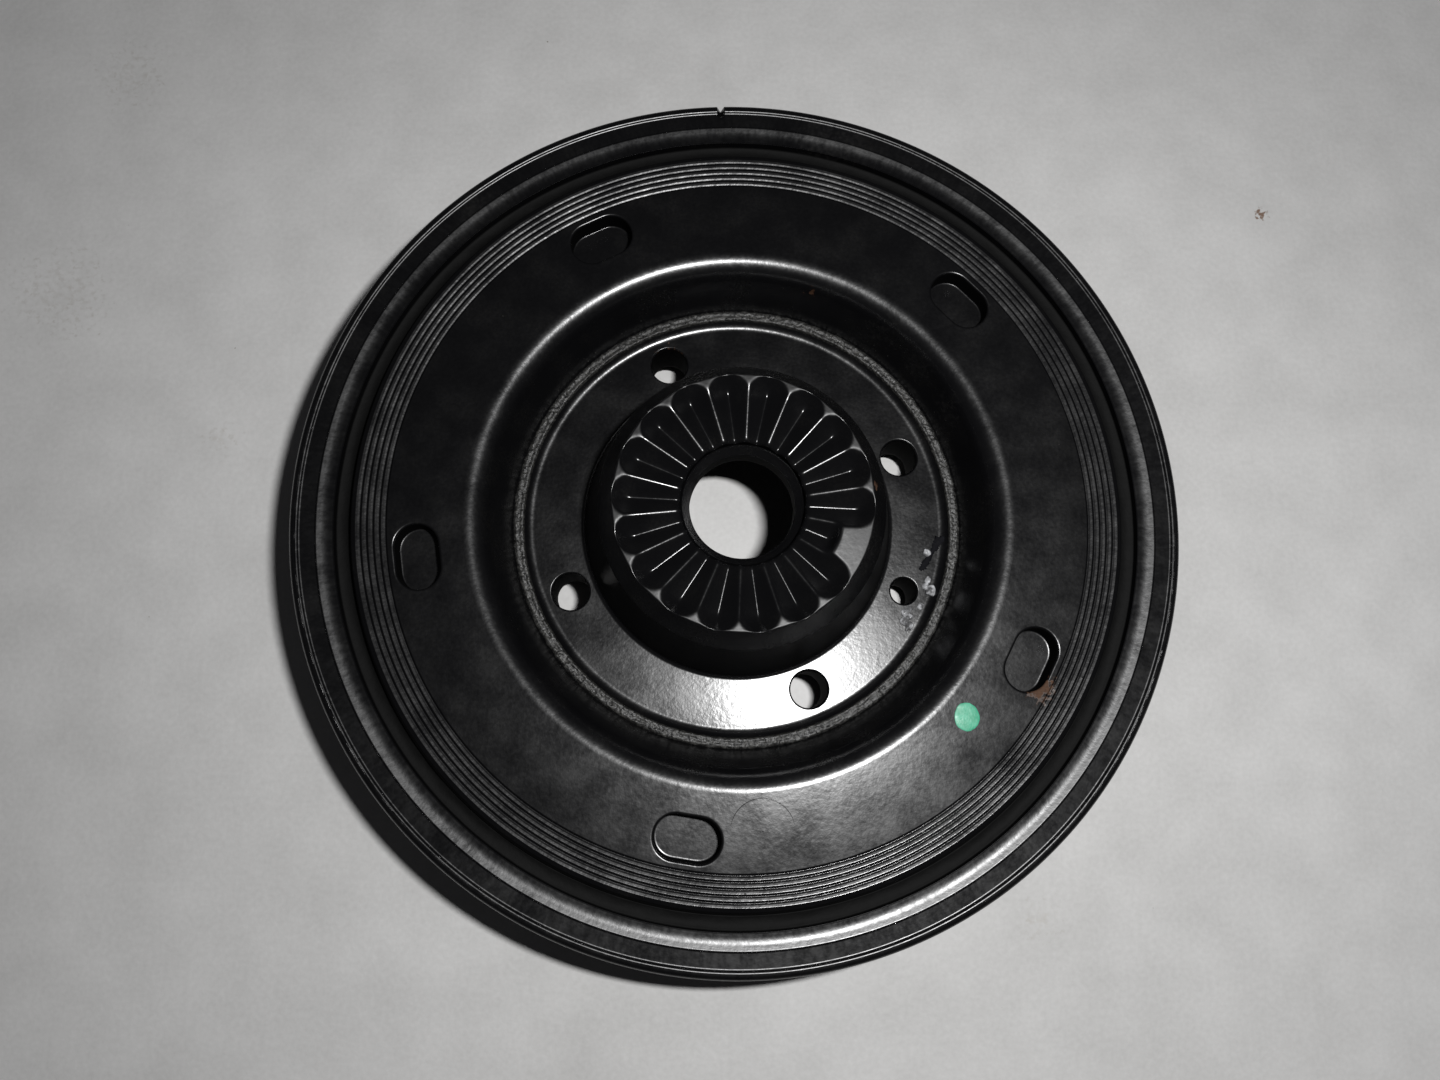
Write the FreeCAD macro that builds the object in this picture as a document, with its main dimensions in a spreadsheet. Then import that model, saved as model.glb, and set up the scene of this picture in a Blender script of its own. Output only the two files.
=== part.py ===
import FreeCAD, Part
import math
import os
import re
import Sketcher

# Crankshaft belt pulley with a torsional damper.
# It lies with its engine side up. The origin is on the pulley's axis, in the plane of the
# belt ring's front face, and +Z runs along the axis towards the engine. Sizes are in mm.

SIZES = {
    # Hub: bore, splined boss and bolt flange, from the axis outwards
    "bore_radius": 8.6,
    "tooth_bore_step": 1.45,
    "tooth_bore_depth": 3.1,
    "tooth_length": 10.85,
    "boss_shoulder_step": 2.55,
    "boss_base_step": 3.15,
    "boss_rise": 18.6,
    "boss_nose": 3.7,
    "boss_edge": 0.35,
    "boss_base_round": 0.8,
    "spline_count": 18,
    "spline_depth": 2.4,
    "spline_half_width": 3.25,
    "spline_run": 7.9,
    "key_run": 4.55,
    "key_ramp": 1.55,
    "flange_height": 14.65,
    "flange_thickness": 10.0,
    "flange_edge": 3.75,
    "flange_bevel": 0.6,
    "flange_root": 1.0,
    "flange_bevel_drop": 0.2,
    "bolt_land": 1.45,
    "bolt_hole": 6.4,
    "bolt_count": 4,
    "bolt_turn": 45.0,
    "index_hole": 4.6,
    "index_angle": 337.5,
    "hole_edge": 0.3,
    "seat_width": 8.9,
    "seat_depth": 20.0,
    # Seam where the disc is welded around the hub
    "seam_rise": 1.5,
    "bead_half_width": 1.1,
    "bead_depth": 1.1,
    "bead_crown_radius": 2.6,
    # Disc that carries the rubber ring
    "well_slope_width": 4.4,
    "web_width": 20.9,
    "web_rise": 0.55,
    "web_thickness": 8.5,
    "web_round": 4.0,
    "disc_foot_wall": 6.4,
    "disc_foot_inset": 1.0,
    "disc_round": 2.0,
    "rim_bevel_width": 0.9,
    "rim_bevel_drop": 2.2,
    "rim_wall": 5.6,
    "rim_front_inset": 2.2,
    "groove_count": 5,
    "groove_margin": 1.23,
    "groove_pitch": 1.03,
    "groove_width": 0.46,
    "groove_depth": 0.3,
    "pocket_count": 5,
    "pocket_margin": 0.64,
    "pocket_length": 10.6,
    "pocket_width": 7.0,
    "pocket_depth": 4.0,
    "pocket_edge": 0.25,
    "pocket_angle": 332.3,
    # Rubber ring between the disc and the belt ring
    "rubber_wall": 2.4,
    "rubber_rear_inset": 2.0,
    "rubber_front_inset": 1.6,
    "rubber_hollow_radius": 2.4,
    # Belt ring, the outer ring that carries the ribbed belt
    "ring_wall": 2.6,
    "rib_depth": 3.0,
    "rib_pitch": 3.56,
    "rib_count": 6,
    "rib_crest": 0.8,
    "rib_flank_angle": 20.0,
    "lip_height": 1.6,
    "front_lip": 1.7,
    "rear_lip": 1.94,
    "lip_round": 1.4,
    "front_round": 0.8,
    "land_width": 2.6,
    "band_drop": 0.35,
    "crest_width": 2.6,
    "crest_rise": 0.3,
    "face_width": 1.8,
    "face_rise": 0.42,
    "face_foot_drop": 0.55,
    "bore_round": 0.4,
    "notch_width": 1.3,
    "notch_depth": 1.1,
    "notch_angle": 92.2,
}

# Radii from the axis outwards, as formulas of the sizes above
TOOTH_BORE = "(bore_radius + tooth_bore_step)"
BOSS_TOP_RADIUS = f"({TOOTH_BORE} + tooth_length)"
BOSS_SHOULDER_RADIUS = f"({BOSS_TOP_RADIUS} + boss_shoulder_step)"
BOSS_BASE_RADIUS = f"({BOSS_SHOULDER_RADIUS} + boss_base_step)"
BOLT_RADIUS = f"({BOSS_BASE_RADIUS} + bolt_land + bolt_hole / 2)"
SEAM_RADIUS = f"({BOLT_RADIUS} + bolt_hole / 2 + flange_edge)"
WEB_INNER = f"({SEAM_RADIUS} + well_slope_width)"
WEB_OUTER = f"({WEB_INNER} + web_width)"
RIM_RADIUS = f"({WEB_OUTER} + rim_bevel_width)"
RING_BORE = f"({RIM_RADIUS} + rubber_wall)"
CREST_RADIUS = f"({RING_BORE} + crest_width)"
RIB_ROOT = f"({RING_BORE} + ring_wall)"
RIB_RADIUS = f"({RIB_ROOT} + rib_depth)"
LIP_RADIUS = f"({RIB_RADIUS} + lip_height)"
LAND_INNER = f"({LIP_RADIUS} - land_width)"

# Heights that several pieces share
RIBS_TOP = "(front_lip + rib_count * rib_pitch)"
RING_HEIGHT = f"({RIBS_TOP} + rear_lip)"
WEB_TOP = f"({RING_HEIGHT} + web_rise)"
SEAM_TOP = "(flange_height + seam_rise)"
BOSS_TOP = "(flange_height + boss_rise)"

UP = FreeCAD.Vector(0, 0, 1)
TOLERANCE = 1e-4
CUT_MARGIN = 1.0


def bound(formula):
    """A formula with each size's name pointed at its cell."""
    def cell(found):
        word = found.group()
        return "Sizes." + word if word in SIZES else word
    return re.sub(r"[a-z_]+", cell, formula)


def new_sheet(doc):
    sheet = doc.addObject("Spreadsheet::Sheet", "Sizes")
    for row, (name, value) in enumerate(SIZES.items(), start=1):
        sheet.set(f"A{row}", name)
        sheet.set(f"B{row}", str(value))
        sheet.setAlias(f"B{row}", name)
    doc.recompute()
    return sheet


def new_body(doc, name, turn="0"):
    body = doc.addObject("PartDesign::Body", name)
    body.Label = name
    body.Placement = FreeCAD.Placement(FreeCAD.Vector(), FreeCAD.Rotation(UP, 0))
    body.setExpression("Placement.Rotation.Angle", bound(turn))
    return body


def origin_part(body, role):
    for feature in body.Origin.OriginFeatures:
        if feature.Role == role:
            return feature
    raise ValueError(role)


def new_sketch(body, name, plane):
    sketch = body.newObject("Sketcher::SketchObject", name)
    sketch.AttachmentSupport = [(origin_part(body, plane), "")]
    sketch.MapMode = "FlatFace"
    return sketch


def value_of(sketch, formula):
    return float(sketch.evalExpression(bound(formula)))


def fix_point(sketch, edge, end, across, along):
    """Dimension one end of an edge from the sketch's origin."""
    for kind, formula, axis in (("DistanceX", across, -2), ("DistanceY", along, -1)):
        amount = value_of(sketch, formula)
        if abs(amount) < TOLERANCE:
            sketch.addConstraint(Sketcher.Constraint("PointOnObject", edge, end, axis))
        elif amount > 0:
            row = sketch.addConstraint(Sketcher.Constraint(kind, -1, 1, edge, end, amount))
            sketch.setExpression(f"Constraints[{row}]", bound(formula))
        else:
            row = sketch.addConstraint(Sketcher.Constraint(kind, edge, end, -1, 1, -amount))
            sketch.setExpression(f"Constraints[{row}]", bound(f"-({formula})"))


def outline(sketch, corners):
    """A closed outline. A corner is (across, along), or (across, along, radius) where the
    edge that leaves it is an arc, which bulges to the right of its way: out of an outline
    that runs anticlockwise, and into one that runs clockwise."""
    points = []
    for corner in corners:
        points.append(FreeCAD.Vector(value_of(sketch, corner[0]), value_of(sketch, corner[1]), 0))
    ends = []
    for number, corner in enumerate(corners):
        start = points[number]
        stop = points[(number + 1) % len(points)]
        if len(corner) == 3:
            arc = bulging_arc(start, stop, value_of(sketch, corner[2]))
            edge = sketch.addGeometry(arc, False)
            starts_here = (arc.StartPoint - start).Length < TOLERANCE
            ends.append((edge, 1, 2) if starts_here else (edge, 2, 1))
            row = sketch.addConstraint(Sketcher.Constraint("Radius", edge, arc.Radius))
            sketch.setExpression(f"Constraints[{row}]", bound(corner[2]))
        else:
            edge = sketch.addGeometry(Part.LineSegment(start, stop), False)
            ends.append((edge, 1, 2))
    for number, corner in enumerate(corners):
        edge, first, last = ends[number]
        before, before_first, before_last = ends[number - 1]
        sketch.addConstraint(Sketcher.Constraint("Coincident", before, before_last, edge, first))
        fix_point(sketch, edge, first, corner[0], corner[1])


def bulging_arc(start, stop, radius):
    """The arc from start round to stop that bulges to the right of that way."""
    chord = stop - start
    half = chord.Length / 2
    left = FreeCAD.Vector(-chord.y, chord.x, 0).normalize()
    centre = (start + stop) / 2 + left * math.sqrt(radius ** 2 - half ** 2)
    from_angle = math.atan2(start.y - centre.y, start.x - centre.x)
    to_angle = math.atan2(stop.y - centre.y, stop.x - centre.x)
    if to_angle < from_angle:
        to_angle += 2 * math.pi
    return Part.ArcOfCircle(Part.Circle(centre, UP, radius), from_angle, to_angle)


def turned(body, name, corners, kind="PartDesign::Revolution"):
    """A full turn of an outline of radii and heights about the body's axis."""
    sketch = new_sketch(body, name + "_outline", "XZ_Plane")
    outline(sketch, corners)
    feature = body.newObject(kind, name)
    feature.Profile = sketch
    feature.ReferenceAxis = (sketch, ["V_Axis"])
    feature.Angle = 360
    body.Document.recompute()
    return feature


def pocket(body, name, sketch, length, reverse=False):
    feature = body.newObject("PartDesign::Pocket", name)
    feature.Profile = sketch
    feature.Reversed = reverse
    feature.setExpression("Length", bound(length))
    body.Document.recompute()
    return feature


def around(body, name, features, count, span="360"):
    """Copies of features, evenly spaced around the body's axis."""
    pattern = body.newObject("PartDesign::PolarPattern", name)
    pattern.Originals = features
    pattern.Axis = (origin_part(body, "Z_Axis"), [""])
    pattern.setExpression("Angle", bound(span))
    pattern.setExpression("Occurrences", bound(count))
    body.Tip = pattern
    body.Document.recompute()
    return pattern


def rings_at(feature, radius, height):
    """Names of the circular edges about the axis, of one radius and height."""
    names = []
    for number, edge in enumerate(feature.Shape.Edges, start=1):
        curve = edge.Curve
        if not isinstance(curve, Part.Circle):
            continue
        place = curve.Center
        on_axis = math.hypot(place.x, place.y) < TOLERANCE
        if on_axis and abs(curve.Radius - radius) < 0.01 and abs(place.z - height) < 0.01:
            names.append(f"Edge{number}")
    return names


def rim_edges(feature, centre, reach):
    """Names of the edges that lie flat around a point, no further from it than reach."""
    names = []
    for number, edge in enumerate(feature.Shape.Edges, start=1):
        if edge.Degenerated:
            continue
        marks = edge.discretize(5)
        flat = all(abs(mark.z - centre.z) < TOLERANCE for mark in marks)
        if flat and all((mark - centre).Length < reach for mark in marks):
            names.append(f"Edge{number}")
    return names


def soften(body, name, base, edges, size, kind="PartDesign::Fillet"):
    """A fillet or chamfer on the named edges of the last feature."""
    feature = body.newObject(kind, name)
    feature.Base = (base, edges)
    feature.setExpression("Radius" if kind.endswith("Fillet") else "Size", bound(size))
    body.Document.recompute()
    return feature


def round_ring(body, name, base, radius, height, size):
    ring = rings_at(base, value_of(base, radius), value_of(base, height))
    return soften(body, name, base, ring, size)


def make_belt_ring(doc):
    body = new_body(doc, "belt_ring", "notch_angle - 180")
    foot = f"({RING_HEIGHT} - face_foot_drop)"
    blank = turned(body, "ring_blank", [
        (RING_BORE, "0"),
        (LIP_RADIUS, "0"),
        (LIP_RADIUS, "front_lip"),
        (RIB_RADIUS, "front_lip"),
        (RIB_RADIUS, RIBS_TOP),
        (LIP_RADIUS, RIBS_TOP),
        (LIP_RADIUS, RING_HEIGHT),
        (LAND_INNER, RING_HEIGHT),
        (LAND_INNER, f"{RING_HEIGHT} - band_drop"),
        (CREST_RADIUS, f"{RING_HEIGHT} - band_drop"),
        (CREST_RADIUS, f"{RING_HEIGHT} + crest_rise"),
        (f"{RING_BORE} + face_width", f"{foot} + face_rise"),
        (RING_BORE, foot),
    ])
    rear = round_ring(body, "rear_lip_round", blank, LIP_RADIUS, RING_HEIGHT, "lip_round")
    front = round_ring(body, "front_lip_round", rear, LIP_RADIUS, "0", "front_round")
    mouth = round_ring(body, "bore_rear_round", front, RING_BORE, foot, "bore_round")
    round_ring(body, "bore_front_round", mouth, RING_BORE, "0", "bore_round")
    cut_ribs(body)
    cut_timing_notch(body)
    return body


def cut_ribs(body):
    """The grooves between the ribs of the belt track."""
    half_mouth = "((rib_pitch - rib_crest) / 2)"
    half_root = f"({half_mouth} - rib_depth * tan(rib_flank_angle))"
    middle = "(front_lip + rib_pitch / 2)"
    outside = f"({RIB_RADIUS} + {CUT_MARGIN})"
    groove = turned(body, "rib_groove", [
        (RIB_ROOT, f"{middle} - {half_root}"),
        (RIB_RADIUS, f"{middle} - {half_mouth}"),
        (outside, f"{middle} - {half_mouth}"),
        (outside, f"{middle} + {half_mouth}"),
        (RIB_RADIUS, f"{middle} + {half_mouth}"),
        (RIB_ROOT, f"{middle} + {half_root}"),
    ], "PartDesign::Groove")
    pattern = body.newObject("PartDesign::LinearPattern", "rib_grooves")
    pattern.Originals = [groove]
    pattern.Direction = (origin_part(body, "Z_Axis"), [""])
    pattern.setExpression("Length", bound("(rib_count - 1) * rib_pitch"))
    pattern.setExpression("Occurrences", bound("rib_count"))
    body.Tip = pattern
    body.Document.recompute()


def cut_timing_notch(body):
    """A small V in the rear lip, on the body's own X axis and across from its seam."""
    sketch = new_sketch(body, "notch_outline", "XY_Plane")
    sketch.setExpression("AttachmentOffset.Base.z", bound(f"{RING_HEIGHT} + {CUT_MARGIN}"))
    half = f"(notch_width / 2 * (notch_depth + {CUT_MARGIN}) / notch_depth)"
    outline(sketch, [
        (f"-({LIP_RADIUS} - notch_depth)", "0"),
        (f"-({LIP_RADIUS} + {CUT_MARGIN})", half),
        (f"-({LIP_RADIUS} + {CUT_MARGIN})", f"-{half}"),
    ])
    pocket(body, "timing_notch", sketch, f"rear_lip + {CUT_MARGIN}")


def make_rubber_ring(doc):
    body = new_body(doc, "rubber_ring")
    rear = f"({RING_HEIGHT} - rubber_rear_inset)"
    turned(body, "rubber", [
        (RIM_RADIUS, "rubber_front_inset"),
        (RIM_RADIUS, rear, "rubber_hollow_radius"),
        (RING_BORE, rear),
        (RING_BORE, "rubber_front_inset"),
    ])
    return body


def make_web_disc(doc):
    body = new_body(doc, "web_disc", "pocket_angle")
    web_bottom = f"({WEB_TOP} - web_thickness)"
    foot = "(flange_height - flange_thickness + disc_foot_inset)"
    rim_inner = f"({RIM_RADIUS} - rim_wall)"
    foot_outer = f"({SEAM_RADIUS} + disc_foot_wall)"
    shoulder = f"({WEB_INNER} + disc_foot_wall / 2)"
    blank = turned(body, "disc_blank", [
        (SEAM_RADIUS, foot),
        (foot_outer, foot),
        (shoulder, web_bottom),
        (rim_inner, web_bottom),
        (rim_inner, "rim_front_inset"),
        (RIM_RADIUS, "rim_front_inset"),
        (RIM_RADIUS, f"{WEB_TOP} - rim_bevel_drop"),
        (WEB_OUTER, WEB_TOP),
        (WEB_INNER, WEB_TOP),
        (f"{SEAM_RADIUS} + bead_half_width", SEAM_TOP),
        (SEAM_RADIUS, f"{SEAM_TOP} - bead_depth"),
    ])
    ridge = round_ring(body, "web_ridge", blank, WEB_INNER, WEB_TOP, "web_round")
    inner = round_ring(body, "rim_root", ridge, rim_inner, web_bottom, "disc_round")
    round_ring(body, "shoulder_root", inner, shoulder, web_bottom, "disc_round")
    groove_inner = f"({WEB_OUTER} - groove_margin - (groove_count - 1) * groove_pitch)"
    cut_fine_grooves(body, groove_inner)
    edge = f"({groove_inner} - groove_width - pocket_margin)"
    cut_pockets(body, f"({edge} - pocket_width / 2)")
    return body


def cut_fine_grooves(body, inner):
    """Fine V grooves turned in the rear face of the rim."""
    sketch = new_sketch(body, "fine_groove_outline", "XZ_Plane")
    surface = f"({WEB_TOP} + groove_depth)"
    for number in range(round(SIZES["groove_count"])):
        middle = f"({inner} + {number} * groove_pitch)"
        outline(sketch, [
            (middle, f"{WEB_TOP} - groove_depth"),
            (f"{middle} + groove_width", surface),
            (f"{middle} - groove_width", surface),
        ])
    grooves = body.newObject("PartDesign::Groove", "fine_grooves")
    grooves.Profile = sketch
    grooves.ReferenceAxis = (sketch, ["V_Axis"])
    grooves.Angle = 360
    body.Document.recompute()


def cut_pockets(body, radius):
    """Oblong pockets in the rear face of the web, the first on the body's own X axis."""
    sketch = new_sketch(body, "pocket_outline", "XY_Plane")
    sketch.setExpression("AttachmentOffset.Base.z", bound(WEB_TOP))
    slot(sketch, radius, "(pocket_length - pocket_width) / 2", "pocket_width / 2")
    cut = pocket(body, "web_pocket", sketch, "pocket_depth")
    centre = FreeCAD.Vector(value_of(body, radius), 0, value_of(body, WEB_TOP))
    mouth = rim_edges(cut, centre, value_of(body, f"pocket_length / 2 + {TOLERANCE * 10}"))
    edge = soften(body, "pocket_edge_round", cut, mouth, "pocket_edge")
    around(body, "web_pockets", [cut, edge], "pocket_count")


def slot(sketch, across, half_straight, radius):
    """A slot with round ends, centred on the sketch's own X axis and square to it."""
    middle = value_of(sketch, across)
    reach = value_of(sketch, half_straight)
    size = value_of(sketch, radius)
    top = Part.Circle(FreeCAD.Vector(middle, reach, 0), UP, size)
    bottom = Part.Circle(FreeCAD.Vector(middle, -reach, 0), UP, size)
    inner = sketch.addGeometry(Part.LineSegment(FreeCAD.Vector(middle - size, -reach, 0),
                                                FreeCAD.Vector(middle - size, reach, 0)), False)
    outer = sketch.addGeometry(Part.LineSegment(FreeCAD.Vector(middle + size, -reach, 0),
                                                FreeCAD.Vector(middle + size, reach, 0)), False)
    upper = sketch.addGeometry(Part.ArcOfCircle(top, 0, math.pi), False)
    lower = sketch.addGeometry(Part.ArcOfCircle(bottom, math.pi, 2 * math.pi), False)
    sketch.addConstraint(Sketcher.Constraint("Tangent", inner, 2, upper, 2))
    sketch.addConstraint(Sketcher.Constraint("Tangent", outer, 2, upper, 1))
    sketch.addConstraint(Sketcher.Constraint("Tangent", inner, 1, lower, 1))
    sketch.addConstraint(Sketcher.Constraint("Tangent", outer, 1, lower, 2))
    row = sketch.addConstraint(Sketcher.Constraint("Radius", upper, size))
    sketch.setExpression(f"Constraints[{row}]", bound(radius))
    fix_point(sketch, upper, 3, across, half_straight)
    fix_point(sketch, lower, 3, across, f"-({half_straight})")


def make_weld_bead(doc):
    body = new_body(doc, "weld_bead")
    turned(body, "bead", [
        (SEAM_RADIUS, f"{SEAM_TOP} - bead_depth"),
        (f"{SEAM_RADIUS} + bead_half_width", SEAM_TOP, "bead_crown_radius"),
        (f"{SEAM_RADIUS} - bead_half_width", f"{SEAM_TOP} - flange_bevel_drop"),
    ])
    return body


def make_hub(doc):
    body = new_body(doc, "hub", "index_angle")
    front = "(flange_height - flange_thickness)"
    seat = f"({front} + seat_depth)"
    seat_radius = "(bore_radius + seat_width)"
    chamfer_top = f"({BOSS_TOP} - tooth_bore_depth)"
    lip = f"({SEAM_RADIUS} - bead_half_width)"
    blank = turned(body, "hub_blank", [
        ("bore_radius", seat),
        (seat_radius, seat),
        (seat_radius, front),
        (SEAM_RADIUS, front),
        (SEAM_RADIUS, f"{SEAM_TOP} - bead_depth"),
        (lip, f"{SEAM_TOP} - flange_bevel_drop"),
        (f"{lip} - flange_bevel", "flange_height"),
        (BOSS_BASE_RADIUS, "flange_height"),
        (BOSS_SHOULDER_RADIUS, f"{BOSS_TOP} - boss_nose"),
        (BOSS_TOP_RADIUS, BOSS_TOP),
        (TOOTH_BORE, BOSS_TOP),
        (TOOTH_BORE, chamfer_top),
        ("bore_radius", f"{chamfer_top} - tooth_bore_step"),
    ])
    base = round_ring(body, "boss_base_round", blank, BOSS_BASE_RADIUS, "flange_height",
                      "boss_base_round")
    edge = round_ring(body, "boss_edge_round", base, BOSS_TOP_RADIUS, BOSS_TOP, "boss_edge")
    round_ring(body, "flange_root_round", edge, f"{lip} - flange_bevel", "flange_height",
               "flange_root")
    cut_spline(body)
    cut_key_groove(body)
    drill_flange(body)
    return body


def tooth_outline(sketch, depth, half_width, height):
    """The V of one spline groove, seen along it, with room above the boss."""
    top = f"({BOSS_TOP} + {CUT_MARGIN})"
    widening = f"({half_width} + {CUT_MARGIN} * {half_width} / ({depth}))"
    outline(sketch, [
        ("0", f"{height} - {depth}"),
        (widening, top),
        (f"-{widening}", top),
    ])


def cut_spline(body):
    """V grooves of the face spline. Each one ends in a cone, as the cutter leaves it."""
    reach = f"({TOOTH_BORE} + spline_run)"
    pitch = "(360 / spline_count)"
    copies = "spline_count - 1"
    span = f"360 - 2 * {pitch}"
    sketch = new_sketch(body, "tooth_outline", "YZ_Plane")
    sketch.AttachmentOffset = FreeCAD.Placement(FreeCAD.Vector(),
                                                FreeCAD.Rotation(FreeCAD.Vector(0, 1, 0), 20))
    sketch.setExpression("AttachmentOffset.Rotation.Angle", bound(pitch))
    tooth_outline(sketch, "spline_depth", "spline_half_width", BOSS_TOP)
    groove = pocket(body, "tooth_groove", sketch, reach, reverse=True)
    around(body, "tooth_grooves", [groove], copies, span)
    cone = body.newObject("PartDesign::SubtractiveCone", "tooth_end")
    cone.AttachmentSupport = [(origin_part(body, "XY_Plane"), "")]
    cone.MapMode = "FlatFace"
    cone.Radius1 = 0
    widening = f"(spline_depth + {CUT_MARGIN}) / spline_depth"
    cone.setExpression("Radius2", bound(f"spline_half_width * {widening}"))
    cone.setExpression("Height", bound(f"spline_depth + {CUT_MARGIN}"))
    cone.setExpression("AttachmentOffset.Base.x", bound(f"{reach} * cos({pitch})"))
    cone.setExpression("AttachmentOffset.Base.y", bound(f"{reach} * sin({pitch})"))
    cone.setExpression("AttachmentOffset.Base.z", bound(f"{BOSS_TOP} - spline_depth"))
    body.Document.recompute()
    around(body, "tooth_ends", [cone], copies, span)


def cut_key_groove(body):
    """The one short groove, which keys the pulley. Its end slopes up to the boss's face."""
    reach = f"({TOOTH_BORE} + key_run)"
    near = new_sketch(body, "key_outline", "YZ_Plane")
    tooth_outline(near, "spline_depth", "spline_half_width", BOSS_TOP)
    pocket(body, "key_groove", near, reach, reverse=True)
    start = new_sketch(body, "key_ramp_start", "YZ_Plane")
    start.setExpression("AttachmentOffset.Base.z", bound(reach))
    tooth_outline(start, "spline_depth", "spline_half_width", BOSS_TOP)
    stop = new_sketch(body, "key_ramp_stop", "YZ_Plane")
    stop.setExpression("AttachmentOffset.Base.z", bound(f"{reach} + key_ramp"))
    tooth_outline(stop, "spline_depth / 20", "spline_half_width * 0.9", BOSS_TOP)
    ramp = body.newObject("PartDesign::SubtractiveLoft", "key_ramp")
    ramp.Profile = start
    ramp.Sections = [stop]
    body.Document.recompute()


def drill_flange(body):
    """Four bolt holes, and the index hole on the body's own X axis."""
    index_sketch = new_sketch(body, "index_outline", "XY_Plane")
    index_sketch.setExpression("AttachmentOffset.Base.z", bound("flange_height"))
    hole_circle(index_sketch, BOLT_RADIUS, "0", "index_hole / 2")
    index = pocket(body, "index_hole", index_sketch, f"flange_thickness + {CUT_MARGIN}")
    index_edge = soften_hole(body, "index_edge", index, BOLT_RADIUS, "0", "index_hole / 2")
    bolt_sketch = new_sketch(body, "bolt_outline", "XY_Plane")
    bolt_sketch.setExpression("AttachmentOffset.Base.z", bound("flange_height"))
    across = f"{BOLT_RADIUS} * cos(bolt_turn)"
    along = f"{BOLT_RADIUS} * sin(bolt_turn)"
    hole_circle(bolt_sketch, across, along, "bolt_hole / 2")
    body.Tip = index_edge
    hole = pocket(body, "bolt_hole", bolt_sketch, f"flange_thickness + {CUT_MARGIN}")
    edge = soften_hole(body, "bolt_hole_edge", hole, across, along, "bolt_hole / 2")
    around(body, "bolt_holes", [hole, edge], "bolt_count")


def hole_circle(sketch, across, along, radius):
    amount = value_of(sketch, radius)
    centre = FreeCAD.Vector(value_of(sketch, across), value_of(sketch, along), 0)
    edge = sketch.addGeometry(Part.Circle(centre, UP, amount), False)
    row = sketch.addConstraint(Sketcher.Constraint("Radius", edge, amount))
    sketch.setExpression(f"Constraints[{row}]", bound(radius))
    fix_point(sketch, edge, 3, across, along)


def soften_hole(body, name, base, across, along, radius):
    """A small chamfer where a hole meets the flange's rear face."""
    centre = FreeCAD.Vector(value_of(body, across), value_of(body, along),
                            value_of(body, "flange_height"))
    mouth = rim_edges(base, centre, value_of(body, f"{radius} + {TOLERANCE * 10}"))
    return soften(body, name, base, mouth, "hole_edge", "PartDesign::Chamfer")


def check(doc, bodies):
    for thing in doc.Objects:
        if "Invalid" in thing.State or "Error" in thing.State:
            raise RuntimeError(f"{thing.Name} failed: {thing.State}")
    for body in bodies:
        shape = body.Shape
        if shape.isNull() or not shape.isValid() or len(shape.Solids) != 1:
            raise RuntimeError(f"{body.Label} is not one valid solid")


def main():
    doc = FreeCAD.newDocument("BeltPulley")
    new_sheet(doc)
    bodies = [
        make_hub(doc),
        make_weld_bead(doc),
        make_web_disc(doc),
        make_rubber_ring(doc),
        make_belt_ring(doc),
    ]
    doc.recompute()
    check(doc, bodies)
    os.makedirs("parts", exist_ok=True)
    for body in bodies:
        body.Shape.exportStep(f"parts/{body.Label}.step")
        print(body.Label, "volume", round(body.Shape.Volume, 1), "box", body.Shape.BoundBox)


main()
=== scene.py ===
import math
import random
import bmesh
import bpy
from mathutils import Matrix, Vector, noise


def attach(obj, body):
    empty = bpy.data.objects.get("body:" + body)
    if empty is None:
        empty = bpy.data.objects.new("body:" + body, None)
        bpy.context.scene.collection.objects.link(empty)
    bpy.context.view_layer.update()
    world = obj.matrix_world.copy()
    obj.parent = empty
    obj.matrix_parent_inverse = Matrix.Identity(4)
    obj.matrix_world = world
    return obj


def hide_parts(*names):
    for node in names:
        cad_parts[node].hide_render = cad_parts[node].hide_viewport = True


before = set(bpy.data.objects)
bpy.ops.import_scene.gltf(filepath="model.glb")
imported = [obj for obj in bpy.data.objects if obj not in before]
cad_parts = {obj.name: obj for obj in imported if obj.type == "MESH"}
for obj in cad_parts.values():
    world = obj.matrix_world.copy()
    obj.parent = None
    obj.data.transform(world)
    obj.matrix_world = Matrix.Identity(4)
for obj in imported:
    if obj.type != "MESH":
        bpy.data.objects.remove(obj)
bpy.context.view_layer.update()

# Lengths are in millimetres, as in the part's own source, until a mesh is made from them.
MM = 0.001
FULL = 2 * math.pi
NEAR = 1e-6

# Sizes of the part
BORE = 8.6
TOOTH_BORE = 10.05
CHAMFER_TOP = 30.15
CHAMFER_FOOT = 28.74
BOSS_TOP = 33.25
BOSS_TOP_RADIUS = 20.9
BOSS_SHOULDER = (23.45, 29.55)
BOSS_BASE_RADIUS = 26.6
SPLINE_COUNT = 18
SPLINE_DEPTH = 2.4
SPLINE_REACH = 17.95
KEY_REACH = 14.6
KEY_SQUEEZE = 2.0
FLANGE_TOP = 14.65
FLANGE_BOTTOM = 4.65
HOLE_CIRCLE = 31.25
BOLT_HOLE = 3.2
INDEX_HOLE = 2.3
INDEX_ANGLE = math.radians(337.5)
SPLINE_ANGLE = math.radians(337.0)
SEAT_RADIUS = 17.5
SEAT_TOP = 24.65
SEAM_RADIUS = 38.2
SEAM_TOP = 16.15
BEAD_INNER = 36.95
BEAD_OUTER = 38.85
WEB_INNER = 42.6
WEB_OUTER = 63.5
WEB_TOP = 25.55
RIM_RADIUS = 64.4
POCKET_ANGLE = math.radians(332.3)
POCKET_CIRCLE = 53.3
POCKET_COUNT = 5
POCKET_HALF_STRAIGHT = 1.85
POCKET_RADIUS = 3.55
POCKET_DEPTH = 4.0
GROOVE_INNER = 58.17
GROOVE_PITCH = 1.04
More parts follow.
